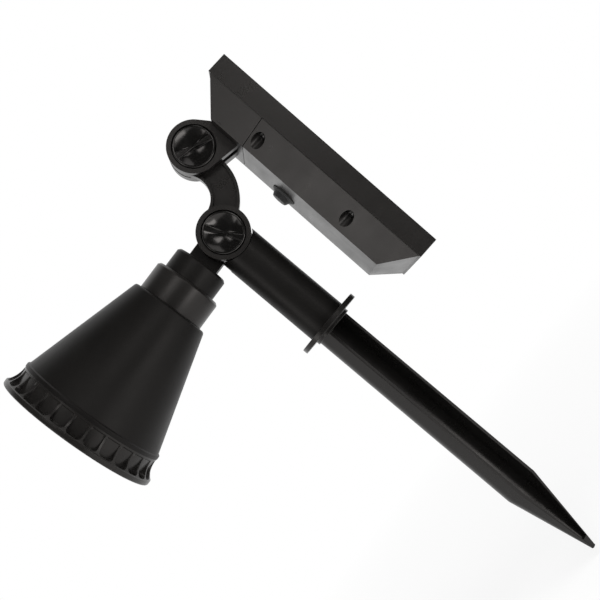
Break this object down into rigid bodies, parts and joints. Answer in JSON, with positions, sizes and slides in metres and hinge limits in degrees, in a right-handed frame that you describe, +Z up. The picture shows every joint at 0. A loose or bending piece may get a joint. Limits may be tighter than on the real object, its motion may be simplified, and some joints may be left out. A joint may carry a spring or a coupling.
{
  "type": "garden spike spotlight",
  "caption": "Spotlight for the garden: a conical lamp head and a solar panel case on a jointed stem, clamped by thumb knobs, with a pointed spike for the soil.",
  "frame": {"origin": "on the spike's axis at the underside of the round ground flange", "axes": "+Z up along the stem, +X from the stem to the solar panel case (the lamp head points to -X), hinge axes along Y with the thumb knobs on the -Y side"},
  "size_m": [0.1972, 0.09, 0.3054],
  "materials": {
    "case_plastic": "fine satin, black",
    "knob_plastic": "glossy black",
    "spike_plastic": "smooth, half gloss, black",
    "black_rubber": "matt black",
    "steel": "zinc plated",
    "clear_plastic": "clear",
    "bright_reflector": "metallised",
    "white_board": "white solder mask",
    "light_chip": "yellow phosphor",
    "backing_board": "dark",
    "solar_cell": "dark blue with fine silver lines",
    "battery_can": "green sleeve",
    "holder_plastic": "matt black",
    "green_board": "green solder mask",
    "component_plastic": "matt"
  },
  "bodies": {
    "spike": {"ground_spike": "spike_plastic"},
    "stem": {"stem_tube": "case_plastic", "lower_hinge_nut": "steel"},
    "arm": {"hinge_arm": "case_plastic", "arm_friction_rings": "black_rubber"},
    "lamp_head": {"lamp_neck": "case_plastic", "neck_friction_ring": "black_rubber", "neck_spacer_ring": "case_plastic", "lamp_shell": "case_plastic", "neck_locknut": "case_plastic", "bezel_ring": "case_plastic", "lens_seal": "black_rubber", "lamp_lens": "clear_plastic", "reflector": "bright_reflector", "led_board": "white_board", "led_chips": "light_chip", "led_board_screws": "steel"},
    "panel_case": {"solar_frame": "case_plastic", "hinge_block": "case_plastic", "battery_cover": "case_plastic", "case_gasket": "black_rubber", "battery_cover_screws": "steel", "hinge_block_screws": "steel", "solar_backing": "backing_board", "solar_cells": "solar_cell", "solar_clear_sheet": "clear_plastic", "battery_cell": "battery_can", "battery_holder": "holder_plastic", "battery_contacts": "steel", "control_board": "green_board", "control_board_parts": "component_plastic", "control_board_screws": "steel", "mode_switch": "holder_plastic", "upper_hinge_nut": "steel", "button_foot_ring": "black_rubber"},
    "button": {"mode_button": "black_rubber", "switch_stem": "holder_plastic"},
    "upper_knob_turned": {"upper_knob": "knob_plastic", "upper_hinge_bolt": "steel"},
    "lower_knob_turned": {"lower_knob": "knob_plastic", "lower_hinge_bolt": "steel"}
  },
  "joints": [
    {"name": "stem_turn", "type": "hinge", "parent": "spike", "child": "stem", "pos_m": [0, 0, 0.0028], "axis": [0, 0, 1], "continuous": true},
    {"name": "arm_swing", "type": "hinge", "parent": "stem", "child": "arm", "pos_m": [0, 0, 0.0733], "axis": [0, 1, 0], "range_deg": [-20, 5]},
    {"name": "head_tilt", "type": "hinge", "parent": "stem", "child": "lamp_head", "pos_m": [0, 0, 0.0733], "axis": [0, 1, 0], "range_deg": [-15, 36]},
    {"name": "panel_tilt", "type": "hinge", "parent": "arm", "child": "panel_case", "pos_m": [0.02438, 0, 0.11453], "axis": [0, 1, 0], "range_deg": [-100, 4]},
    {"name": "upper_knob_turn", "type": "hinge", "parent": "panel_case", "child": "upper_knob_turned", "pos_m": [0.02438, 0, 0.11453], "axis": [0, 1, 0], "range_deg": [0, 360]},
    {"name": "lower_knob_turn", "type": "hinge", "parent": "arm", "child": "lower_knob_turned", "pos_m": [0, 0, 0.0733], "axis": [0, 1, 0], "range_deg": [0, 360]},
    {"name": "button_press", "type": "slide", "parent": "panel_case", "child": "button", "axis": [0.9997, 0, -0.0262], "range_m": [0, 0.0006], "stiffness_N_per_m": 1200, "springref_m": -0.0004}
  ]
}
